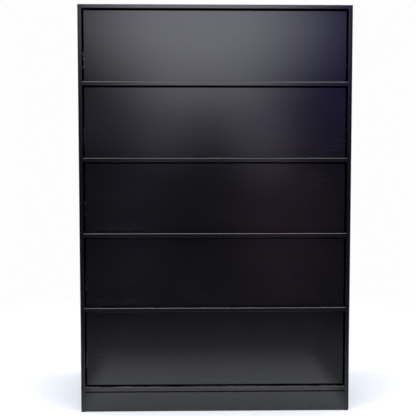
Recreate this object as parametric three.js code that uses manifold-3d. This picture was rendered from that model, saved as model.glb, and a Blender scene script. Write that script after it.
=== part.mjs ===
// A tall chest of five push-to-open drawers, inset in a frame of thin lacquered boards.
// Millimetres, +Z up, drawers facing -Y, origin on the floor under the middle of the chest.
import * as THREE from 'three';
import { mergeVertices } from 'three/addons/utils/BufferGeometryUtils.js';
import Module from 'manifold-3d';

const wasm = await Module();
wasm.setup();

// Carcass
const width = 800;
const depth = 450;
const height = 1200;
const board = 12; // thickness of every lacquered carcass board
const outerArris = 4.5; // rounding down the outer front edge of a side panel
const innerArris = 1.5; // and down its inner front edge
const upperArris = 2.5; // rounding along the upper front edge of a level board
const lowerArris = 1; // and along its lower front edge
const seam = 0.3; // clearance where two pieces meet
const baseUnderside = 61.5;
const plinthSetback = 2;
const plinthLift = 2; // the sides carry the weight, and the plinth board clears the floor
const plinthShadowGap = 4; // between the plinth board and the base panel
const railDepth = 60;
const backThickness = 5;
const backInset = 8; // from the rear edges of the sides to the back panel
const grooveDepth = 6; // grooves for the back panel and the drawer bottoms

// Drawers
const drawerCount = 5;
const upperOpening = 210; // the lowest opening takes what is left
const frontThickness = 16;
const frontRecess = 12;
const sideReveal = 5;
const upperReveals = { above: 5, below: 2 };
const lowestReveals = { above: 4, below: 5.5 };
const plywood = 12;
const boxLength = 400;
const boxLift = 12; // from the floor of the opening to the underside of the box
const boxHeadroom = 38;
const bottomThickness = 6;
const bottomLift = 10; // from the underside of the box to its bottom panel
const frontGrooveDepth = 5;

// Two-member ball-bearing runners
const runnerGap = 13; // between the carcass side and the drawer side
const runnerHeight = 45;
const runnerSheet = 1.5;
const runnerLip = 3;
const ballRace = 3.5;
const channelMouth = 2.5; // from the cabinet member's lips to the drawer side
const drawerMemberFlange = 6;
const runnerCentre = 67; // above the floor of the opening
const runnerFront = 60; // from the front edge of the carcass to the runner's end, out of sight of the gaps
const cabinetRunnerLength = 365;
const ejectorLength = 20;
const ejectorNeck = 3; // how far it stands out between the channel's lips
const pressStroke = 3;
const ejectorClearance = 1; // left to the drawer member when the drawer is pressed in

// Frame planes that follow from those
const front = - depth / 2;
const rear = depth / 2;
const innerHalf = width / 2 - board;
const boxHalf = innerHalf - runnerGap;
const backFront = rear - backInset - backThickness;
const facePlane = front + frontRecess;
const boxFront = facePlane + frontThickness + seam;
const grooveHeight = bottomThickness + 2 * seam;
const runnerStart = front + runnerFront;
const runnerEnd = runnerStart + cabinetRunnerLength;
const ejectorStart = runnerEnd - ejectorLength;
const drawerRunnerLength = ejectorStart - pressStroke - ejectorClearance - runnerStart;

const finish = ( color, roughness, metalness = 0 ) =>
	new THREE.MeshStandardMaterial( { color, roughness, metalness } );
const blackLacquer = finish( 0x17161a, 0.35 );
const birch = finish( 0xd2b384, 0.55 );
const zincSteel = finish( 0xb4b8bc, 0.35, 0.9 );
const hardboard = finish( 0x2b2523, 0.7 );
const greyPolymer = finish( 0x6d7074, 0.5 );

// ---- Geometry helpers -------------------------------------------------------------

// Rectangle outline with a radius for each corner: low-low, high-low, high-high, low-high.
function outline( u0, u1, v0, v1, [ a, b, c, d ] ) {

	const shape = new THREE.Shape();
	shape.moveTo( u0 + a, v0 );
	shape.lineTo( u1 - b, v0 );
	if ( b ) shape.absarc( u1 - b, v0 + b, b, - Math.PI / 2, 0 );
	shape.lineTo( u1, v1 - c );
	if ( c ) shape.absarc( u1 - c, v1 - c, c, 0, Math.PI / 2 );
	shape.lineTo( u0 + d, v1 );
	if ( d ) shape.absarc( u0 + d, v1 - d, d, Math.PI / 2, Math.PI );
	shape.lineTo( u0, v0 + a );
	if ( a ) shape.absarc( u0 + a, v0 + a, a, Math.PI, 1.5 * Math.PI );
	return shape;

}

const polygon = ( points ) => new THREE.Shape( points.map( ( [ u, v ] ) => new THREE.Vector2( u, v ) ) );

const extruded = ( shape, length ) =>
	new THREE.ExtrudeGeometry( shape, { depth: length, bevelEnabled: false, curveSegments: 8 } );

// An outline in (y, z), drawn out along X.
function alongX( shape, x0, x1 ) {

	const turn = new THREE.Matrix4().makeBasis(
		new THREE.Vector3( 0, 1, 0 ), new THREE.Vector3( 0, 0, 1 ), new THREE.Vector3( 1, 0, 0 ) );
	return extruded( shape, x1 - x0 ).applyMatrix4( turn ).translate( x0, 0, 0 );

}

// An outline in (x, z), drawn out along Y.
function alongY( shape, y0, y1 ) {

	const turn = new THREE.Matrix4().makeBasis(
		new THREE.Vector3( 1, 0, 0 ), new THREE.Vector3( 0, 0, 1 ), new THREE.Vector3( 0, - 1, 0 ) );
	return extruded( shape, y1 - y0 ).applyMatrix4( turn ).translate( 0, y1, 0 );

}

// An outline in (x, y), drawn out along Z.
const alongZ = ( shape, z0, z1 ) => extruded( shape, z1 - z0 ).translate( 0, 0, z0 );

// A box between two corners, each pair of limits given in either order.
function block( xs, ys, zs ) {

	const size = [ xs, ys, zs ].map( ( [ a, b ] ) => Math.abs( b - a ) );
	const middle = [ xs, ys, zs ].map( ( [ a, b ] ) => ( a + b ) / 2 );
	return new THREE.BoxGeometry( ...size ).translate( ...middle );

}

function toSolid( geometry ) {

	const bare = geometry.index ? geometry.toNonIndexed() : geometry.clone();
	bare.deleteAttribute( 'normal' );
	bare.deleteAttribute( 'uv' );
	const merged = mergeVertices( bare, 1e-4 );
	return new wasm.Manifold( new wasm.Mesh( {
		numProp: 3,
		vertProperties: merged.attributes.position.array,
		triVerts: new Uint32Array( merged.index.array ),
	} ) );

}

// The operation is 'subtract' or 'intersect'.
function combine( geometry, operation, other ) {

	const mesh = toSolid( geometry )[ operation ]( toSolid( other ) ).getMesh();
	const result = new THREE.BufferGeometry();
	result.setAttribute( 'position', new THREE.BufferAttribute( mesh.vertProperties, 3 ) );
	result.setIndex( new THREE.BufferAttribute( mesh.triVerts, 1 ) );
	result.computeVertexNormals();
	return result;

}

function piece( parent, name, geometry, material ) {

	const mesh = new THREE.Mesh( geometry, material );
	mesh.name = name;
	parent.add( mesh );
	return mesh;

}

const hands = [ [ 'left', - 1 ], [ 'right', 1 ] ];

// ---- Carcass ----------------------------------------------------------------------

const grooveTop = height - board + grooveDepth;

// Full height, rounded over at the top front corner to meet the top panel, with a groove that the
// back panel slides up into from below.
function sidePanel( side ) {

	const xs = [ side * innerHalf, side * width / 2 ].sort( ( a, b ) => a - b );
	const arrises = side < 0 ? [ outerArris, innerArris ] : [ innerArris, outerArris ];
	const upright = alongZ( outline( ...xs, front, rear, [ ...arrises, 0, 0 ] ), 0, height );
	const profile = alongX( outline( front, rear, 0, height, [ 0, 0, 0, upperArris ] ), ...xs );
	const groove = block(
		[ side * ( innerHalf - board ), side * ( innerHalf + grooveDepth ) ],
		[ backFront - seam, backFront + backThickness + seam ],
		[ - board, grooveTop ] );
	return combine( combine( upright, 'intersect', profile ), 'subtract', groove );

}

// A board that lies between the sides.
function crossBoard( y1, z0 ) {

	const section = outline( front, y1, z0, z0 + board, [ lowerArris, 0, 0, upperArris ] );
	return alongX( section, - innerHalf + seam, innerHalf - seam );

}

function topPanel() {

	const groove = block(
		[ - width, width ],
		[ backFront - seam, backFront + backThickness + seam ],
		[ height - 2 * board, grooveTop ] );
	return combine( crossBoard( rear, height - board ), 'subtract', groove );

}

function plinthBoard() {

	const start = front + plinthSetback;
	return block( [ - innerHalf + seam, innerHalf - seam ], [ start, start + board ],
		[ plinthLift, baseUnderside - plinthShadowGap ] );

}

function backPanel() {

	const half = innerHalf + grooveDepth - seam;
	return block( [ - half, half ], [ backFront, backFront + backThickness ],
		[ baseUnderside, grooveTop - seam ] );

}

function addCarcass( chest ) {

	for ( const [ hand, side ] of hands )
		piece( chest, `${ hand }_side_panel`, sidePanel( side ), blackLacquer );
	piece( chest, 'top_panel', topPanel(), blackLacquer );
	piece( chest, 'base_panel', crossBoard( backFront - seam, baseUnderside ), blackLacquer );
	piece( chest, 'plinth_board', plinthBoard(), blackLacquer );
	piece( chest, 'back_panel', backPanel(), hardboard );

}

// ---- Runners ----------------------------------------------------------------------

// A section symmetrical about its middle height, given by its upper half as points (u, v).
// u is the distance from the carcass side towards the drawer, v the height above the middle.
function runnerSection( side, upperHalf ) {

	const lowerHalf = upperHalf.map( ( [ u, v ] ) => [ u, - v ] ).reverse();
	return polygon( [ ...upperHalf, ...lowerHalf ].map( ( [ u, v ] ) => [ side * ( innerHalf - u ), v ] ) );

}

// A channel that opens towards the drawer between two turned-in lips.
function cabinetRunner( side ) {

	const top = runnerHeight / 2;
	const mouth = runnerGap - channelMouth;
	const lipEnd = top - runnerSheet - runnerLip;
	const section = runnerSection( side, [
		[ seam, top ], [ mouth, top ], [ mouth, lipEnd ], [ mouth - runnerSheet, lipEnd ],
		[ mouth - runnerSheet, top - runnerSheet ], [ seam + runnerSheet, top - runnerSheet ],
	] );
	return alongY( section, runnerStart, runnerEnd );

}

// A smaller channel screwed to the drawer side, its flanges reaching in between the lips.
function drawerRunner( side ) {

	const top = runnerHeight / 2 - runnerSheet - ballRace;
	const outer = runnerGap - seam;
	const toe = outer - drawerMemberFlange - runnerSheet;
	const section = runnerSection( side, [
		[ outer, top ], [ toe, top ], [ toe, top - runnerSheet ], [ outer - runnerSheet, top - runnerSheet ],
	] );
	return alongY( section, runnerStart, runnerStart + drawerRunnerLength );

}

// A slider held behind the channel's lips, with a neck that meets the drawer member's tail.
function ejector() {

	const lipInner = runnerGap - channelMouth - runnerSheet;
	const wide = runnerHeight / 2 - runnerSheet - seam;
	const narrow = wide - runnerLip;
	const section = runnerSection( 1, [
		[ seam + runnerSheet + seam, wide ], [ lipInner - seam, wide ],
		[ lipInner - seam, narrow ], [ lipInner + ejectorNeck, narrow ],
	] );
	return alongY( section, ejectorStart, runnerEnd );

}

// ---- Drawers ----------------------------------------------------------------------

// The openings from the top down.
function drawerOpenings() {

	const openings = [];
	let ceiling = height - board;
	for ( let number = 1; number <= drawerCount; number ++ ) {

		const lowest = number === drawerCount;
		const floor = lowest ? baseUnderside + board : ceiling - upperOpening;
		openings.push( { number, floor, rise: ceiling - floor, reveals: lowest ? lowestReveals : upperReveals } );
		ceiling = floor - board;

	}

	return openings;

}

// Heights within a drawer are measured from the floor of its opening.
const bottomGroove = [ boxLift + bottomLift, boxLift + bottomLift + grooveHeight ];

function drawerFront( rise, reveals ) {

	const half = innerHalf - sideReveal;
	const back = facePlane + frontThickness;
	const slab = block( [ - half, half ], [ facePlane, back ], [ reveals.below, rise - reveals.above ] );
	const grooveHalf = boxHalf - plywood + grooveDepth;
	const groove = block(
		[ - grooveHalf, grooveHalf ], [ back - frontGrooveDepth, back + board ], bottomGroove );
	return combine( slab, 'subtract', groove );

}

function drawerSide( side, boxTop ) {

	const inner = boxHalf - plywood;
	const [ grooveLow, grooveHigh ] = bottomGroove;
	const section = [
		[ boxHalf, boxLift ], [ boxHalf, boxTop ], [ inner, boxTop ], [ inner, grooveHigh ],
		[ inner + grooveDepth, grooveHigh ], [ inner + grooveDepth, grooveLow ],
		[ inner, grooveLow ], [ inner, boxLift ],
	];
	return alongY( polygon( section.map( ( [ x, z ] ) => [ side * x, z ] ) ), boxFront, boxFront + boxLength );

}

// Stands on the bottom panel, between the two sides.
function drawerBack( boxTop ) {

	const half = boxHalf - plywood - seam;
	const end = boxFront + boxLength;
	return block( [ - half, half ], [ end - plywood, end ], [ bottomGroove[ 1 ], boxTop ] );

}

function drawerBottom() {

	const half = boxHalf - plywood + grooveDepth - seam;
	const low = bottomGroove[ 0 ] + seam;
	return block( [ - half, half ], [ boxFront - frontGrooveDepth, boxFront + boxLength ],
		[ low, low + bottomThickness ] );

}

function addDrawer( chest, { number, floor, rise, reveals } ) {

	const name = `drawer_${ number }`;
	const boxTop = rise - boxHeadroom;
	const drawer = new THREE.Group();
	drawer.position.z = floor;
	chest.add( drawer );

	piece( drawer, `${ name }_front`, drawerFront( rise, reveals ), blackLacquer );
	piece( drawer, `${ name }_back`, drawerBack( boxTop ), birch );
	piece( drawer, `${ name }_bottom`, drawerBottom(), birch );
	for ( const [ hand, side ] of hands ) {

		piece( drawer, `${ name }_${ hand }_side`, drawerSide( side, boxTop ), birch );
		piece( drawer, `${ name }_${ hand }_drawer_runner`, drawerRunner( side ), zincSteel )
			.position.z = runnerCentre;

	}

}

// What stays in the chest at each opening: both cabinet members, and the ejector in the right one.
function addOpeningFittings( chest, { number, floor } ) {

	const fittings = new THREE.Group();
	fittings.position.z = floor + runnerCentre;
	chest.add( fittings );

	for ( const [ hand, side ] of hands )
		piece( fittings, `drawer_${ number }_${ hand }_cabinet_runner`, cabinetRunner( side ), zincSteel );
	piece( fittings, `drawer_${ number }_ejector`, ejector(), greyPolymer );

}

const chest = new THREE.Group();
addCarcass( chest );
for ( const opening of drawerOpenings() ) {

	addDrawer( chest, opening );
	addOpeningFittings( chest, opening );
	if ( opening.number < drawerCount )
		piece( chest, `front_rail_${ opening.number }`,
			crossBoard( front + railDepth, opening.floor - board ), blackLacquer );

}

export default chest;
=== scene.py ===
import math

import bmesh
import bpy
from mathutils import Matrix, Vector


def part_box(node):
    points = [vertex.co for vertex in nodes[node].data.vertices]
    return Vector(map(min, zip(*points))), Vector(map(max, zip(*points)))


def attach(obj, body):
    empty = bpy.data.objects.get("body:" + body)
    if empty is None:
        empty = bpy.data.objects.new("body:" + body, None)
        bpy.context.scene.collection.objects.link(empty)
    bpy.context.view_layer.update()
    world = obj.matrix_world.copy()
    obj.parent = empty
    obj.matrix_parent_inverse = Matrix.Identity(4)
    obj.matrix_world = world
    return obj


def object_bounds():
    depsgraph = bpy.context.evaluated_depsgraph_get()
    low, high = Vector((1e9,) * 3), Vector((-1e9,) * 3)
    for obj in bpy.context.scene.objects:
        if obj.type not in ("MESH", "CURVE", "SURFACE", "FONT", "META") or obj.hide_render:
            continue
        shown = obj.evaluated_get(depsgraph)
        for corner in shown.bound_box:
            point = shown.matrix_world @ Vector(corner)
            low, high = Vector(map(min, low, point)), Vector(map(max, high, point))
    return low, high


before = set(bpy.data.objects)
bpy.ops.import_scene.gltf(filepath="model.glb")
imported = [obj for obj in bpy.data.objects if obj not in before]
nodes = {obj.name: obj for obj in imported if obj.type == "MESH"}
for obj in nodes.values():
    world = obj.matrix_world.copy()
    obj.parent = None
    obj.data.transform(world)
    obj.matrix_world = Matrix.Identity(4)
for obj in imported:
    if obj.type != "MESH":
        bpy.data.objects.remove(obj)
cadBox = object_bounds()
drawerNumbers = range(1, 6)
handSigns = {"left": -1, "right": 1}
print("frame loaded:", len(nodes), "nodes")


# Links the values that are sockets and sets the others.
def fillInputs(tree, made, values):
    for key, value in values.items():
        if isinstance(value, bpy.types.NodeSocket):
            tree.links.new(value, made.inputs[key])
        else:
            made.inputs[key].default_value = value


def addNode(tree, kind, inputs=None, **settings):
    made = tree.nodes.new("ShaderNode" + kind)
    for name, value in settings.items():
        setattr(made, name, value)
    fillInputs(tree, made, inputs or {})
    return made


def calc(tree, operation, a, b=0.0):
    return addNode(tree, "Math", {0: a, 1: b}, operation=operation).outputs[0]


def vectorCalc(tree, operation, a, b):
    return addNode(tree, "VectorMath", {0: a, 1: b}, operation=operation).outputs[0]


def dotOf(tree, a, b):
    return addNode(tree, "VectorMath", {0: a, 1: b}, operation="DOT_PRODUCT").outputs["Value"]


def lengthOf(tree, vector):
    return addNode(tree, "VectorMath", {0: vector}, operation="LENGTH").outputs["Value"]


# Eases from one value to another while the input runs from low to high.
def remap(tree, value, low, high, toLow=0.0, toHigh=1.0):
    sockets = {"Value": value, "From Min": low, "From Max": high, "To Min": toLow, "To Max": toHigh}
    return addNode(tree, "MapRange", sockets, interpolation_type="SMOOTHSTEP").outputs["Result"]


# A Mix node's colour sockets share their names with its other ones, so they go by number.
mixSockets = {"a": 6, "b": 7, "result": 2}


def tint(tree, amount, a, b, blend="MIX"):
    sockets = {"Factor": amount, mixSockets["a"]: a, mixSockets["b"]: b}
    made = addNode(tree, "Mix", sockets, data_type="RGBA", blend_type=blend)
    return made.outputs[mixSockets["result"]]


def cloud(tree, where, scale, detail, roughness=0.5, distortion=0.0):
    return addNode(tree, "TexNoise", {
        "Vector": where, "Scale": scale, "Detail": detail, "Roughness": roughness,
        "Distortion": distortion}).outputs["Fac"]


# Inputs and outputs give each socket's name and kind.
def newGroup(name, inputs, outputs):
    group = bpy.data.node_groups.new(name, "ShaderNodeTree")
    for side, sockets in (("INPUT", inputs), ("OUTPUT", outputs)):
        for label, kind in sockets.items():
            group.interface.new_socket(label, in_out=side, socket_type="NodeSocket" + kind)
    given = group.nodes.new("NodeGroupInput").outputs
    result = group.nodes.new("NodeGroupOutput").inputs
    return group, given, result


def addGroup(tree, group, inputs):
    made = tree.nodes.new("ShaderNodeGroup")
    made.node_tree = group
    fillInputs(tree, made, inputs)
    return made.outputs


def newMaterial(name):
    material = bpy.data.materials.new(name)
    material.use_nodes = True
    tree = material.node_tree
    where = addNode(tree, "TexCoord").outputs["Object"]
    return material, tree, tree.nodes["Principled BSDF"], where


def addBump(tree, shader, height, distance):
    bump = addNode(tree, "Bump", {"Height": height, "Distance": distance})
    tree.links.new(bump.outputs["Normal"], shader.inputs["Normal"])


cameraSettings = {
    "eye": (-0.073, -2.625, 0.769),
    "aim": (-0.022, -0.225, 0.609),
    "lens": 70.8,
}


def pointAt(thing, place, target):
    thing.location = place
    thing.rotation_euler = (Vector(target) - Vector(place)).to_track_quat("-Z", "Y").to_euler()


def makeCamera():
    data = bpy.data.cameras.new("camera")
    data.lens = cameraSettings["lens"]
    made = bpy.data.objects.new("camera", data)
    bpy.context.scene.collection.objects.link(made)
    pointAt(made, cameraSettings["eye"], cameraSettings["aim"])
    bpy.context.scene.camera = made


# Soft glows round the room, seen only in reflections. Azimuth 0 is straight out from the drawers
# and 90 to their right. Half is the half-width and half-height at which a glow is gone, core the
# share of that where it is still full, and lean tips its top to the right. Angles in degrees.
glows = {
    "overhead": {"azimuth": 0, "elevation": 80, "half": (60, 60), "core": 0.25, "lean": 0,
                 "colour": (0.8, 0.83, 0.88)},
    "main": {"azimuth": 0.6, "elevation": 9.5, "half": (11.5, 8.2), "core": 0.2, "lean": 4,
             "colour": (3.5, 3.54, 3.97)},
    "leftLobe": {"azimuth": -1.6, "elevation": 2.5, "half": (3.7, 4.9), "core": 0.1, "lean": 14,
                 "colour": (0.46, 0.45, 0.56)},
    "rightLobe": {"azimuth": 4.6, "elevation": 1.8, "half": (3.7, 5.6), "core": 0.15, "lean": -24,
                  "colour": (0.6, 0.58, 0.74)},
    "horizon": {"azimuth": -0.5, "elevation": 2.5, "half": (11.5, 4.0), "core": 0.3, "lean": 0,
                "colour": (0.32, 0.3, 0.42)},
    "violet": {"azimuth": 11.5, "elevation": 8, "half": (9, 11), "core": 0.1, "lean": 0,
               "colour": (0.1, 0.06, 0.56)},
    "dimLeft": {"azimuth": -3.8, "elevation": -4.5, "half": (3.4, 9), "core": 0.2, "lean": 0,
                "colour": (0.05, 0.05, 0.085)},
    "dimRight": {"azimuth": 6.4, "elevation": -4.5, "half": (4.6, 9), "core": 0.25, "lean": 0,
                 "colour": (0.17, 0.07, 0.14)},
    "lowFront": {"azimuth": 0, "elevation": -23, "half": (52, 11), "core": 0.3, "lean": 0,
                 "colour": (0.5, 0.51, 0.56)},
    "leftWall": {"azimuth": -74, "elevation": 15, "half": (47, 17), "core": 0.1, "lean": 0,
                 "colour": (1.5, 1.52, 1.7)},
    "rightWall": {"azimuth": 80, "elevation": 16, "half": (47, 18), "core": 0.1, "lean": 0,
                  "colour": (1.0, 1.02, 1.15)},
    "behind": {"azimuth": 176, "elevation": 26, "half": (64, 27), "core": 0.1, "lean": 0,
               "colour": (1.5, 1.52, 1.62)},
}
backdropColour = (0.985, 0.985, 0.985, 1.0)
roomColour = (0.004, 0.002, 0.014, 1.0)


# Directions at a right angle to a glow or behind it count as this far ahead, so they stay dark.
leastAhead = 0.001


def makeGlowGroup():
    group, given, result = newGroup(
        "glow",
        {"Direction": "Vector", "Towards": "Vector", "Right": "Vector", "Up": "Vector",
         "Core": "Float", "Colour": "Color"},
        {"Light": "Color"})
    ahead, right, up = (dotOf(group, given["Direction"], given[axis])
                        for axis in ("Towards", "Right", "Up"))
    across = addNode(group, "CombineXYZ", {0: right, 1: up}).outputs[0]
    ahead = calc(group, "MAXIMUM", ahead, leastAhead)
    reach = calc(group, "DIVIDE", lengthOf(group, across), ahead)
    share = remap(group, reach, 1.0, given["Core"])
    group.links.new(tint(group, share, (0, 0, 0, 1), given["Colour"]), result["Light"])
    return group


def makeWorld():
    world = bpy.data.worlds.new("studio")
    bpy.context.scene.world = world
    world.use_nodes = True
    tree = world.node_tree
    tree.nodes.clear()
    glowGroup = makeGlowGroup()
    direction = addNode(tree, "TexCoord").outputs["Generated"]
    total = roomColour
    for glow in glows.values():
        a, e, lean = (math.radians(glow[key]) for key in ("azimuth", "elevation", "lean"))
        width, height = (math.tan(math.radians(half)) for half in glow["half"])
        towards = Vector((math.sin(a) * math.cos(e), -math.cos(a) * math.cos(e), math.sin(e)))
        level = Vector((math.cos(a), math.sin(a), 0))
        upright = Vector((-math.sin(a) * math.sin(e), math.cos(a) * math.sin(e), math.cos(e)))
        right = level * math.cos(lean) - upright * math.sin(lean)
        up = upright * math.cos(lean) + level * math.sin(lean)
        light = addGroup(tree, glowGroup, {
            "Direction": direction, "Towards": towards, "Right": right / width, "Up": up / height,
            "Core": glow["core"], "Colour": (*glow["colour"], 1)})["Light"]
        total = tint(tree, 1.0, total, light, "ADD")
    seen = addNode(tree, "LightPath").outputs["Is Camera Ray"]
    background = addNode(tree, "Background", {"Color": tint(tree, seen, total, backdropColour)})
    out = addNode(tree, "OutputWorld")
    tree.links.new(background.outputs[0], out.inputs["Surface"])


# Radiance is what a mirror would show; power follows from it and the panel's size.
softboxes = {
    "overheadSoftbox": {
        "place": (0.0, -0.35, 2.75), "target": (0.0, -0.25, 0.0), "size": (2.6, 1.8),
        "radiance": 7.4, "colour": (0.95, 0.97, 1.0)},
}


def makeSoftboxes():
    for name, box in softboxes.items():
        data = bpy.data.lights.new(name, "AREA")
        data.shape = "RECTANGLE"
        data.size, data.size_y = box["size"]
        data.color = box["colour"]
        data.energy = math.pi * box["radiance"] * data.size * data.size_y
        made = bpy.data.objects.new(name, data)
        bpy.context.scene.collection.objects.link(made)
        pointAt(made, box["place"], box["target"])
        made.visible_camera = False


# A pale round floor that fades into the backdrop. In reflections it is a bright pool of light in
# front of the chest, about as wide as the chest, then a dim wedge that widens with distance, and
# a softer light to the sides and behind.
floorSettings = {
    "radius": 3.2, "segments": 96,
    "colour": (0.9, 0.91, 0.93, 1.0), "roughness": 0.7, "fade": (0.8, 2.0),
    "poolHalfWidth": (0.365, 0.435), "poolReach": (0.36, 1.09), "poolShare": 0.86,
    "wedgeSpread": 0.3, "wedgeEdge": (0.45, 0.95),
    "aroundShare": 0.62, "aroundFade": (1.6, 3.1), "aroundLeast": 0.25,
    "restShare": 0.12,
}


def makePaleFloor():
    material, tree, shader, where = newMaterial("paleFloor")
    shader.inputs["Base Color"].default_value = floorSettings["colour"]
    shader.inputs["Roughness"].default_value = floorSettings["roughness"]
    distance = lengthOf(tree, where)
    seen = remap(tree, distance, *floorSettings["fade"], 1.0, 0.0)
    split = addNode(tree, "SeparateXYZ", {0: where}).outputs
    sideways = calc(tree, "ABSOLUTE", split["X"])
    ahead = calc(tree, "MULTIPLY", split["Y"], -1.0)
    aside = remap(tree, sideways, *floorSettings["poolHalfWidth"], 1.0, 0.0)
    near = remap(tree, ahead, *floorSettings["poolReach"], floorSettings["poolShare"], 0.0)
    pool = calc(tree, "MULTIPLY", aside, near)
    spread = calc(tree, "MULTIPLY", ahead, floorSettings["wedgeSpread"])
    beyond = calc(tree, "SUBTRACT", sideways, spread)
    around = remap(tree, beyond, *floorSettings["wedgeEdge"], 0.0, floorSettings["aroundShare"])
    thinned = remap(
        tree, distance, *floorSettings["aroundFade"], 1.0, floorSettings["aroundLeast"])
    around = calc(tree, "MULTIPLY", around, thinned)
    rest = calc(tree, "MULTIPLY", seen, floorSettings["restShare"])
    mirrored = calc(tree, "ADD", calc(tree, "MAXIMUM", pool, around), rest)
    glossy = addNode(tree, "LightPath").outputs["Is Glossy Ray"]
    alpha = addNode(tree, "Mix", {"Factor": glossy, "A": seen, "B": mirrored}, data_type="FLOAT")
    tree.links.new(alpha.outputs[0], shader.inputs["Alpha"])
    return material


def makeFloor():
    mesh = bpy.data.meshes.new("floor")
    bm = bmesh.new()
    bmesh.ops.create_circle(bm, cap_ends=True, segments=floorSettings["segments"],
                            radius=floorSettings["radius"])
    bm.to_mesh(mesh)
    bm.free()
    floor = bpy.data.objects.new("floor", mesh)
    bpy.context.scene.collection.objects.link(floor)
    floor.data.materials.append(makePaleFloor())


makeCamera()
makeWorld()
makeSoftboxes()
makeFloor()
bpy.context.scene.view_settings.view_transform = "Standard"
print("camera, lights and floor placed")


# 1 on a rubbed edge, broken up so that it comes and goes along the edge. Bend is how alike the
# rounded normal and the flat one are where wear begins and where it is full.
wearLook = {"samples": 6, "bend": (0.985, 0.8), "detail": 4.0, "patches": (0.42, 0.62)}


def makeEdgeWear():
    group, given, result = newGroup(
        "edgeWear", {"Vector": "Vector", "Radius": "Float", "Breakup": "Float"}, {"Mask": "Float"})
    bevel = addNode(group, "Bevel", {"Radius": given["Radius"]}, samples=wearLook["samples"])
    flat = addNode(group, "NewGeometry").outputs["Normal"]
    edge = remap(group, dotOf(group, bevel.outputs["Normal"], flat), *wearLook["bend"])
    broken = cloud(group, given["Vector"], given["Breakup"], wearLook["detail"])
    patches = remap(group, broken, *wearLook["patches"])
    group.links.new(calc(group, "MULTIPLY", edge, patches), result["Mask"])
    return group


# Fine sprayed-film texture over a slow swell, as a height.
peelLook = {"fineDetail": 1.5, "swellDetail": 1.0, "swell": 9.0}


def makeOrangePeel():
    group, given, result = newGroup(
        "orangePeel", {"Vector": "Vector", "Scale": "Float", "Wave": "Float"}, {"Height": "Float"})
    fine = cloud(group, given["Vector"], given["Scale"], peelLook["fineDetail"])
    broad = cloud(group, given["Vector"], given["Wave"], peelLook["swellDetail"])
    swell = calc(group, "MULTIPLY", broad, peelLook["swell"])
    group.links.new(calc(group, "ADD", fine, swell), result["Height"])
    return group


# Faint cloudy marks left by hands and cloths. The wipes slope by an angle in degrees.
handlingLook = {
    "clouds": {"detail": 6.0, "roughness": 0.62, "distortion": 0.6}, "cloudEdge": 0.22,
    "wipeScale": (3.0, 12.0, 30.0), "wipeSlope": 14,
    "streaks": {"scale": 3.0, "detail": 5.0}, "streakBand": (0.35, 0.7), "streakLeast": 0.35,
}


def makeHandling():
    group, given, result = newGroup(
        "handling", {"Vector": "Vector", "Scale": "Float", "Cover": "Float"}, {"Mask": "Float"})
    clouds = cloud(group, given["Vector"], given["Scale"], **handlingLook["clouds"])
    edge = calc(group, "SUBTRACT", 1.0, given["Cover"])
    over = calc(group, "SUBTRACT", clouds, edge)
    cloudy = remap(group, over, 0.0, handlingLook["cloudEdge"])
    wipes = addNode(group, "Mapping", {
        "Vector": given["Vector"], "Scale": handlingLook["wipeScale"],
        "Rotation": (0.0, math.radians(handlingLook["wipeSlope"]), 0.0)})
    streaks = cloud(group, wipes.outputs[0], **handlingLook["streaks"])
    streaky = remap(group, streaks, *handlingLook["streakBand"], handlingLook["streakLeast"], 1.0)
    group.links.new(calc(group, "MULTIPLY", cloudy, streaky), result["Mask"])
    return group


# One rubbed place: a soft ellipsoid round a centre, broken up by fine streaks.
rubLook = {
    "softEdge": (1.5, 0.1), "streakScale": (14.0, 60.0, 170.0),
    "grit": {"scale": 1.0, "detail": 6.0, "roughness": 0.68}, "gritBand": (0.4, 0.68),
}


def makeRub():
    group, given, result = newGroup(
        "rub", {"Vector": "Vector", "Centre": "Vector", "Size": "Vector"}, {"Mask": "Float"})
    offset = vectorCalc(group, "SUBTRACT", given["Vector"], given["Centre"])
    scaled = vectorCalc(group, "DIVIDE", offset, given["Size"])
    soft = remap(group, lengthOf(group, scaled), *rubLook["softEdge"])
    drawn = addNode(group, "Mapping", {"Vector": given["Vector"], "Scale": rubLook["streakScale"]})
    grit = cloud(group, drawn.outputs[0], **rubLook["grit"])
    streaky = remap(group, grit, *rubLook["gritBand"])
    group.links.new(calc(group, "MULTIPLY", soft, streaky), result["Mask"])
    return group


# A pale film with specks in it on whatever faces up: dust on the top, and on the rails' narrow
# ledges partly dust and partly a painted highlight along their top edges.
dustAndHighlightLook = {
    "level": (0.75, 0.98), "film": {"scale": 18.0, "detail": 8.0, "roughness": 0.75},
    "filmBand": (0.35, 0.75), "filmShare": 0.5, "speckScale": 260.0, "speckSize": (0.16, 0.08),
}


def makeDustAndHighlight():
    group, given, result = newGroup(
        "dustAndHighlight", {"Vector": "Vector", "Amount": "Float"}, {"Mask": "Float"})
    normal = addNode(group, "NewGeometry").outputs["Normal"]
    up = addNode(group, "SeparateXYZ", {0: normal}).outputs["Z"]
    level = remap(group, up, *dustAndHighlightLook["level"])
    film = cloud(group, given["Vector"], **dustAndHighlightLook["film"])
    thin = remap(group, film, *dustAndHighlightLook["filmBand"])
    sockets = {"Vector": given["Vector"], "Scale": dustAndHighlightLook["speckScale"]}
    specks = addNode(group, "TexVoronoi", sockets).outputs["Distance"]
    dots = remap(group, specks, *dustAndHighlightLook["speckSize"])
    both = calc(group, "MAXIMUM", calc(group, "MULTIPLY", thin, dustAndHighlightLook["filmShare"]), dots)
    amount = calc(group, "MULTIPLY", both, given["Amount"])
    group.links.new(calc(group, "MULTIPLY", level, amount), result["Mask"])
    return group


# Birch veneer on the faces and stacked plies on the edges. Along is the grain's direction and
# across the way through the thickness, both as unit vectors. Stretch draws the grain out.
plyLook = {
    "stretch": 0.93, "pores": {"scale": 330.0, "detail": 5.0, "roughness": 0.6},
    "figure": {"scale": 26.0, "detail": 3.0, "distortion": 1.4},
    "edgeBand": (0.75, 0.35), "plyBand": (-0.35, 0.35),
}


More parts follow.
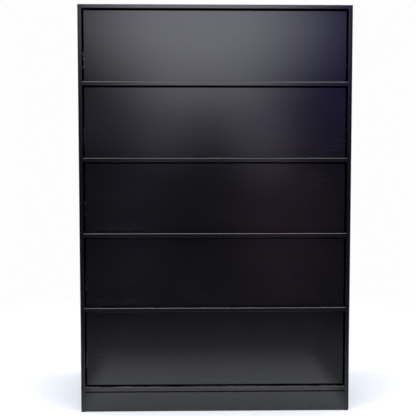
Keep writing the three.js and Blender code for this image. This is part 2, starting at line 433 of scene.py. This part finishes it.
def makePlywood():
    group, given, result = newGroup(
        "plywood",
        {"Vector": "Vector", "Along": "Vector", "Across": "Vector", "Ply": "Float"},
        {"Grain": "Float", "Figure": "Float", "Edge": "Float", "Plies": "Float"})
    run = dotOf(group, given["Vector"], given["Along"])
    pull = calc(group, "MULTIPLY", run, -plyLook["stretch"])
    shift = addNode(group, "VectorMath", {0: given["Along"], "Scale": pull}, operation="SCALE")
    stretched = vectorCalc(group, "ADD", given["Vector"], shift.outputs[0])
    normal = addNode(group, "NewGeometry").outputs["Normal"]
    facing = calc(group, "ABSOLUTE", dotOf(group, normal, given["Across"]))
    layer = calc(group, "DIVIDE", dotOf(group, given["Vector"], given["Across"]), given["Ply"])
    wave = calc(group, "SINE", calc(group, "MULTIPLY", layer, math.pi))
    group.links.new(cloud(group, stretched, **plyLook["pores"]), result["Grain"])
    group.links.new(cloud(group, stretched, **plyLook["figure"]), result["Figure"])
    group.links.new(remap(group, facing, *plyLook["edgeBand"]), result["Edge"])
    group.links.new(remap(group, wave, *plyLook["plyBand"]), result["Plies"])
    return group


# Rolling marks drawn out along the runners, and the mottle of the zinc.
rolledLook = {
    "streakScale": (900.0, 9.0, 900.0), "streaks": {"scale": 1.0, "detail": 4.0},
    "mottleScale": 140.0,
}


def makeRolledSteel():
    group, given, result = newGroup(
        "rolledSteel", {"Vector": "Vector"}, {"Streaks": "Float", "Mottle": "Float"})
    sockets = {"Vector": given["Vector"], "Scale": rolledLook["streakScale"]}
    drawn = addNode(group, "Mapping", sockets).outputs[0]
    sockets = {"Vector": given["Vector"], "Scale": rolledLook["mottleScale"]}
    mottle = addNode(group, "TexVoronoi", sockets, feature="SMOOTH_F1")
    group.links.new(cloud(group, drawn, **rolledLook["streaks"]), result["Streaks"])
    group.links.new(mottle.outputs["Distance"], result["Mottle"])
    return group


edgeWear = makeEdgeWear()
orangePeel = makeOrangePeel()
handling = makeHandling()
rub = makeRub()
dustAndHighlight = makeDustAndHighlight()
plywood = makePlywood()
rolledSteel = makeRolledSteel()
print("shared effects built")


# The film is a clear coat with a sharp reflection over a pigmented layer with a hazy one. The pale
# upward-facing layer changes from the ledges' amount to the top's between two depths below the top:
# on the top it is dust, on the ledges partly dust and partly a painted highlight along the rails'
# top edges.
lacquer = {
    "colour": (0.0038, 0.0034, 0.0044, 1.0),
    "worn": (0.03, 0.029, 0.029, 1.0),
    "marked": (0.02, 0.0198, 0.0215, 1.0),
    "dustAndHighlightColour": (0.22, 0.21, 0.2, 1.0),
    "smooth": 0.4,
    "dull": 0.55,
    "baseShine": 0.12,
    "coatRoughness": 0.09,
    "peel": 0.0000035,
    "peelSpray": {"Scale": 420.0, "Wave": 5.0},
    "handling": {"Scale": 6.0, "Cover": 0.52},
    "handlingShare": 0.13,
    "rubShare": 0.5,
    "edges": {"Radius": 0.0012, "Breakup": 34.0},
    "edgeShare": 0.5,
    "topDust": 0.06,
    # On the ledges the pale layer is partly dust and partly a painted highlight.
    "ledgeDustAndHighlight": 0.85,
    "dustAndHighlightChange": (0.03, 0.015),
}

# Rubbed places: how far across and up a node, and how big.
rubs = [
    {"node": "drawer_3_front", "across": 0.14, "up": 0.06, "size": (0.13, 0.03, 0.016)},
    {"node": "drawer_4_front", "across": 0.11, "up": 0.07, "size": (0.09, 0.03, 0.014)},
    {"node": "drawer_5_front", "across": 0.06, "up": 0.38, "size": (0.03, 0.03, 0.03)},
    {"node": "drawer_2_front", "across": 0.93, "up": 0.18, "size": (0.06, 0.03, 0.035)},
    {"node": "drawer_3_front", "across": 0.88, "up": 0.78, "size": (0.04, 0.03, 0.03)},
    {"node": "plinth_board", "across": 0.82, "up": 0.25, "size": (0.035, 0.03, 0.012)},
]


def addRub(tree, where, spot):
    low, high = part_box(spot["node"])
    across = low.x + (high.x - low.x) * spot["across"]
    up = low.z + (high.z - low.z) * spot["up"]
    sockets = {"Vector": where, "Centre": (across, low.y, up), "Size": spot["size"]}
    return addGroup(tree, rub, sockets)["Mask"]


def makeLacquer():
    material, tree, shader, where = newMaterial("blackLacquer")
    marks = addGroup(tree, handling, {"Vector": where, **lacquer["handling"]})["Mask"]
    marks = calc(tree, "MULTIPLY", marks, lacquer["handlingShare"])
    for spot in rubs:
        patch = calc(tree, "MULTIPLY", addRub(tree, where, spot), lacquer["rubShare"])
        marks = calc(tree, "MAXIMUM", marks, patch)
    worn = addGroup(tree, edgeWear, {"Vector": where, **lacquer["edges"]})["Mask"]
    # The narrow ledges below the top get far more of the pale layer than the top: partly dust,
    # partly a painted highlight along the rails' top edges.
    rise = addNode(tree, "SeparateXYZ", {0: where}).outputs["Z"]
    top = cadBox[1][2]
    change = (top - depth for depth in lacquer["dustAndHighlightChange"])
    amount = remap(tree, rise, *change, lacquer["ledgeDustAndHighlight"], lacquer["topDust"])
    dustAndHighlightMask = addGroup(tree, dustAndHighlight, {"Vector": where, "Amount": amount})["Mask"]
    colour = tint(tree, marks, lacquer["colour"], lacquer["marked"])
    rubbed = calc(tree, "MULTIPLY", worn, lacquer["edgeShare"])
    colour = tint(tree, rubbed, colour, lacquer["worn"])
    # Pale layer: dust, and on the rails' ledges also a painted highlight.
    colour = tint(tree, dustAndHighlightMask, colour, lacquer["dustAndHighlightColour"])
    tree.links.new(colour, shader.inputs["Base Color"])
    used = calc(tree, "MAXIMUM", marks, worn)
    rough = remap(tree, used, 0.0, 1.0, lacquer["smooth"], lacquer["dull"])
    rough = calc(tree, "ADD", rough, dustAndHighlightMask)
    tree.links.new(rough, shader.inputs["Roughness"])
    shader.inputs["Specular IOR Level"].default_value = lacquer["baseShine"]
    shader.inputs["Coat Weight"].default_value = 1.0
    shader.inputs["Coat Roughness"].default_value = lacquer["coatRoughness"]
    height = addGroup(tree, orangePeel, {"Vector": where, **lacquer["peelSpray"]})["Height"]
    addBump(tree, shader, height, lacquer["peel"])
    return material


# Ply is the thickness of one layer.
birch = {
    "pale": (0.62, 0.43, 0.25, 1.0),
    "dark": (0.5, 0.325, 0.175, 1.0),
    "layer": (0.2, 0.115, 0.055, 1.0),
    "worn": (0.72, 0.55, 0.36, 1.0),
    "ply": 0.00133,
    "figureBand": (0.3, 0.72),
    "poreBand": (0.52, 0.75),
    "poreShare": 0.45,
    "edges": {"Radius": 0.001, "Breakup": 60.0},
    "edgeShare": 0.35,
    "roughBand": (0.3, 0.75),
    "roughness": (0.42, 0.62),
    "relief": 0.00012,
}


def makeBirch(name, along, across):
    material, tree, shader, where = newMaterial(name)
    wood = addGroup(tree, plywood, {
        "Vector": where, "Along": along, "Across": across, "Ply": birch["ply"]})
    figure = remap(tree, wood["Figure"], *birch["figureBand"])
    colour = tint(tree, figure, birch["pale"], birch["dark"])
    pores = remap(tree, wood["Grain"], *birch["poreBand"], 0.0, birch["poreShare"])
    colour = tint(tree, pores, colour, birch["dark"])
    layered = tint(tree, wood["Plies"], birch["pale"], birch["layer"])
    colour = tint(tree, wood["Edge"], colour, layered)
    worn = addGroup(tree, edgeWear, {"Vector": where, **birch["edges"]})["Mask"]
    rubbed = calc(tree, "MULTIPLY", worn, birch["edgeShare"])
    colour = tint(tree, rubbed, colour, birch["worn"])
    tree.links.new(colour, shader.inputs["Base Color"])
    rough = remap(tree, wood["Grain"], *birch["roughBand"], *birch["roughness"])
    tree.links.new(rough, shader.inputs["Roughness"])
    addBump(tree, shader, wood["Grain"], birch["relief"])
    return material


steel = {
    "bright": (0.66, 0.67, 0.68, 1.0), "dull": (0.53, 0.545, 0.565, 1.0),
    "streakShare": 0.7, "mottleShare": 0.5, "marks": (0.25, 0.8), "polish": (0.25, 0.36),
    "relief": 0.00002,
}


def makeSteel():
    material, tree, shader, where = newMaterial("zincSteel")
    sheet = addGroup(tree, rolledSteel, {"Vector": where})
    mixed = calc(tree, "ADD", calc(tree, "MULTIPLY", sheet["Streaks"], steel["streakShare"]),
                 calc(tree, "MULTIPLY", sheet["Mottle"], steel["mottleShare"]))
    marked = remap(tree, mixed, *steel["marks"])
    colour = tint(tree, marked, steel["bright"], steel["dull"])
    tree.links.new(colour, shader.inputs["Base Color"])
    shader.inputs["Metallic"].default_value = 1.0
    rough = remap(tree, marked, 0.0, 1.0, *steel["polish"])
    tree.links.new(rough, shader.inputs["Roughness"])
    addBump(tree, shader, sheet["Streaks"], steel["relief"])
    return material


hardboard = {
    "colour": (0.016, 0.0145, 0.0135, 1.0), "fibre": (0.045, 0.036, 0.028, 1.0),
    "fibres": {"scale": 260.0, "detail": 7.0, "roughness": 0.7, "distortion": 0.8},
    "fibreBand": (0.52, 0.72), "fibreShare": 0.7,
    "edges": {"Radius": 0.001, "Breakup": 50.0},
    "clouds": {"scale": 5.0, "detail": 4.0}, "roughBand": (0.3, 0.7), "roughness": (0.42, 0.58),
    "relief": 0.00006,
}


def makeHardboard():
    material, tree, shader, where = newMaterial("darkHardboard")
    fibres = cloud(tree, where, **hardboard["fibres"])
    speckle = remap(tree, fibres, *hardboard["fibreBand"], 0.0, hardboard["fibreShare"])
    colour = tint(tree, speckle, hardboard["colour"], hardboard["fibre"])
    worn = addGroup(tree, edgeWear, {"Vector": where, **hardboard["edges"]})["Mask"]
    colour = tint(tree, worn, colour, hardboard["fibre"])
    tree.links.new(colour, shader.inputs["Base Color"])
    clouds = cloud(tree, where, **hardboard["clouds"])
    rough = remap(tree, clouds, *hardboard["roughBand"], *hardboard["roughness"])
    tree.links.new(rough, shader.inputs["Roughness"])
    addBump(tree, shader, fibres, hardboard["relief"])
    return material


polymer = {
    "colour": (0.13, 0.137, 0.145, 1.0), "scuffed": (0.24, 0.245, 0.25, 1.0),
    "edges": {"Radius": 0.0006, "Breakup": 220.0},
    "grain": {"scale": 1500.0, "detail": 2.0}, "roughBand": (0.3, 0.7), "roughness": (0.4, 0.52),
    "relief": 0.00003,
}


def makePolymer():
    material, tree, shader, where = newMaterial("greyPolymer")
    grain = cloud(tree, where, **polymer["grain"])
    worn = addGroup(tree, edgeWear, {"Vector": where, **polymer["edges"]})["Mask"]
    colour = tint(tree, worn, polymer["colour"], polymer["scuffed"])
    tree.links.new(colour, shader.inputs["Base Color"])
    rough = remap(tree, grain, *polymer["roughBand"], *polymer["roughness"])
    tree.links.new(rough, shader.inputs["Roughness"])
    addBump(tree, shader, grain, polymer["relief"])
    return material


blackLacquer = makeLacquer()
birchSide = makeBirch("birchSide", (0, 1, 0), (1, 0, 0))
birchBack = makeBirch("birchBack", (1, 0, 0), (0, 1, 0))
birchBottom = makeBirch("birchBottom", (1, 0, 0), (0, 0, 1))
zincSteel = makeSteel()
darkHardboard = makeHardboard()
greyPolymer = makePolymer()
print("materials built")


# What each kind of node gets: its material, the record's slot, and how far its sharp edges are
# eased.
nodeFinishes = {
    "drawer_runner": (zincSteel, "zinc_steel", 0.0003),
    "cabinet_runner": (zincSteel, "zinc_steel", 0.0003),
    "ejector": (greyPolymer, "grey_polymer", 0.0006),
    "front": (blackLacquer, "black_lacquer", 0.0014),
    "back": (birchBack, "birch_ply", 0.0008),
    "bottom": (birchBottom, "birch_ply", 0.0003),
    "side": (birchSide, "birch_ply", 0.0012),
}
carcassFinish = (blackLacquer, "black_lacquer", 0.0005)
backPanelFinish = (darkHardboard, "back_board", 0.0004)


def finishOf(name):
    if name == "back_panel":
        return backPanelFinish
    if name.startswith("drawer_"):
        return next(finish for ending, finish in nodeFinishes.items() if name.endswith(ending))
    return carcassFinish


# Edges sharper than the angle, in degrees, are eased.
easing = {"angle": 30, "segments": 3}


def easeEdges(piece, width, segments=easing["segments"]):
    angle = math.radians(easing["angle"])
    piece.data.shade_smooth()
    piece.data.set_sharp_from_angle(angle=angle)
    bevel = piece.modifiers.new("easedEdges", "BEVEL")
    bevel.width = width
    bevel.segments = segments
    bevel.limit_method = "ANGLE"
    bevel.angle_limit = angle
    bevel.harden_normals = True


for name, piece in nodes.items():
    material, slotName, width = finishOf(name)
    piece.data.materials.clear()
    piece.data.materials.append(material)
    easeEdges(piece, width)
print("finish given to the fixed nodes")


# A domed head with a lobed socket. The dome's rings are shares of the head's radius and height,
# rim is the width of the flat round the socket, and wall the height of the socket's top and floor.
screwHead = {
    "segments": 36, "dome": ((1, 0), (1, 0.3), (0.93, 0.62), (0.76, 0.88)),
    "socket": 0.42, "rim": 1.3, "wall": (0.96, 0.25), "lobes": 6, "lobeDepth": 0.16,
}


# Stands with its foot on the origin and its axis along +Z, before placing moves it.
def addScrewHead(bm, radius, height, placing):
    segments = screwHead["segments"]
    socket = radius * screwHead["socket"]
    rings = [(radius * share, height * rise, 0.0) for share, rise in screwHead["dome"]]
    rings.append((socket * screwHead["rim"], height, 0.0))
    rings += [(socket, height * rise, screwHead["lobeDepth"]) for rise in screwHead["wall"]]
    made = []
    for size, level, lobe in rings:
        ring = []
        for step in range(segments):
            angle = 2 * math.pi * step / segments
            reach = size * (1 - lobe * (0.5 - 0.5 * math.cos(screwHead["lobes"] * angle)))
            point = Vector((reach * math.cos(angle), reach * math.sin(angle), level))
            ring.append(bm.verts.new(placing @ point))
        made.append(ring)
    for lower, upper in zip(made, made[1:]):
        for step in range(segments):
            after = (step + 1) % segments
            bm.faces.new((lower[step], lower[after], upper[after], upper[step]))
    bm.faces.new(list(reversed(made[0])))
    bm.faces.new(made[-1])


smoothUpTo = 35  # degrees between two faces that are shaded as one surface


def newPiece(name, bm, material, body):
    mesh = bpy.data.meshes.new(name)
    bmesh.ops.recalc_face_normals(bm, faces=bm.faces)
    bm.to_mesh(mesh)
    bm.free()
    mesh.materials.append(material)
    mesh.shade_smooth()
    mesh.set_sharp_from_angle(angle=math.radians(smoothUpTo))
    piece = bpy.data.objects.new(name, mesh)
    bpy.context.scene.collection.objects.link(piece)
    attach(piece, body)
    return piece


# Turns +Z to a direction and moves the origin to a point.
def placedAt(point, towards):
    turn = Vector(towards).to_track_quat("Z", "Y").to_matrix().to_4x4()
    return Matrix.Translation(point) @ turn


# How far a head stands off the sheet it sits on.
screwGap = 0.00002

# Shares are places along the runner, from its front end.
runnerScrews = {
    "radius": 0.0036, "height": 0.0014, "sheet": 0.0015,
    "cabinetShares": (0.06, 0.42, 0.86),
    "drawerShares": (0.07, 0.46, 0.9),
}


def makeRunnerScrews(number, hand):
    side = handSigns[hand]
    radius, height = runnerScrews["radius"], runnerScrews["height"]
    low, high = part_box(f"drawer_{number}_{hand}_cabinet_runner")
    outer = high.x if side > 0 else low.x
    depth = runnerScrews["sheet"] + screwGap
    bm = bmesh.new()
    for share in runnerScrews["cabinetShares"]:
        point = (outer - side * depth, low.y + (high.y - low.y) * share, (low.z + high.z) / 2)
        addScrewHead(bm, radius, height, placedAt(point, (-side, 0, 0)))
    name = f"drawer_{number}_{hand}_cabinet_runner_screws"
    newPiece(name, bm, zincSteel, "cabinet")

    low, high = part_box(f"drawer_{number}_{hand}_drawer_runner")
    inner = low.x if side > 0 else high.x
    bm = bmesh.new()
    for share in runnerScrews["drawerShares"]:
        point = (inner + side * depth, low.y + (high.y - low.y) * share, (low.z + high.z) / 2)
        addScrewHead(bm, radius, height, placedAt(point, (side, 0, 0)))
    name = f"drawer_{number}_{hand}_drawer_runner_screws"
    newPiece(name, bm, zincSteel, f"drawer_{number}")


# A bent steel angle that holds the front to each drawer side. Screw shares are heights up the
# bracket, and screwOut how far out along a leg.
bracket = {
    "leg": 0.022, "sheet": 0.0015, "tall": 0.07, "up": 0.045, "bend": 0.0025, "bendSteps": 6,
    "gap": 0.0002, "easing": 0.0004, "easingSegments": 2,
    "screwRadius": 0.0034, "screwHeight": 0.0016, "screwShares": (0.2, 0.8), "screwOut": 0.6,
}


# The angle seen from above, with the outside of its corner on the origin.
def bracketOutline():
    leg, sheet, bend = bracket["leg"], bracket["sheet"], bracket["bend"]
    steps = bracket["bendSteps"]
    angles = [math.pi / 2 * k / steps for k in range(steps + 1)]

    def corner(radius, turns):
        return [(bend - radius * math.sin(a), bend - radius * math.cos(a)) for a in turns]

    return [(leg, 0.0), *corner(bend, angles), (0.0, leg), (sheet, leg),
            *corner(bend - sheet, reversed(angles)), (leg, sheet)]


def makeBracket(number, hand):
    side = handSigns[hand]
    sideLow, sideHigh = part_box(f"drawer_{number}_{hand}_side")
    wall = (sideLow.x if side > 0 else sideHigh.x) - side * bracket["gap"]
    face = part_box(f"drawer_{number}_front")[1].y + bracket["gap"]
    foot = sideLow.z + bracket["up"]
    outline = bracketOutline()
    bm = bmesh.new()
    rings = [[bm.verts.new((wall - side * u, face + v, z)) for u, v in outline]
             for z in (foot, foot + bracket["tall"])]
    for k in range(len(outline)):
        after = (k + 1) % len(outline)
        bm.faces.new((rings[0][k], rings[0][after], rings[1][after], rings[1][k]))
    bm.faces.new(rings[0])
    bm.faces.new(list(reversed(rings[1])))
    body = f"drawer_{number}"
    piece = newPiece(f"drawer_{number}_{hand}_bracket", bm, zincSteel, body)
    easeEdges(piece, bracket["easing"], bracket["easingSegments"])

    bm = bmesh.new()
    out = bracket["leg"] * bracket["screwOut"]
    lift = bracket["sheet"] + screwGap
    for share in bracket["screwShares"]:
        height = foot + bracket["tall"] * share
        for point, towards in (((wall - side * out, face + lift, height), (0, 1, 0)),
                               ((wall - side * lift, face + out, height), (-side, 0, 0))):
            addScrewHead(
                bm, bracket["screwRadius"], bracket["screwHeight"], placedAt(point, towards))
    newPiece(f"drawer_{number}_{hand}_bracket_screws", bm, zincSteel, body)


backScrews = {"count": 6, "radius": 0.0038, "height": 0.0016, "inset": 0.05, "up": 0.006}


def makeBackScrews():
    low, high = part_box("back_panel")
    bm = bmesh.new()
    run = high.x - low.x - 2 * backScrews["inset"]
    for k in range(backScrews["count"]):
        x = low.x + backScrews["inset"] + run * k / (backScrews["count"] - 1)
        point = (x, high.y + screwGap, low.z + backScrews["up"])
        addScrewHead(bm, backScrews["radius"], backScrews["height"], placedAt(point, (0, 1, 0)))
    newPiece("back_panel_screws", bm, zincSteel, "cabinet")


for number in drawerNumbers:
    for hand in handSigns:
        makeRunnerScrews(number, hand)
        makeBracket(number, hand)
makeBackScrews()
print("fasteners made")
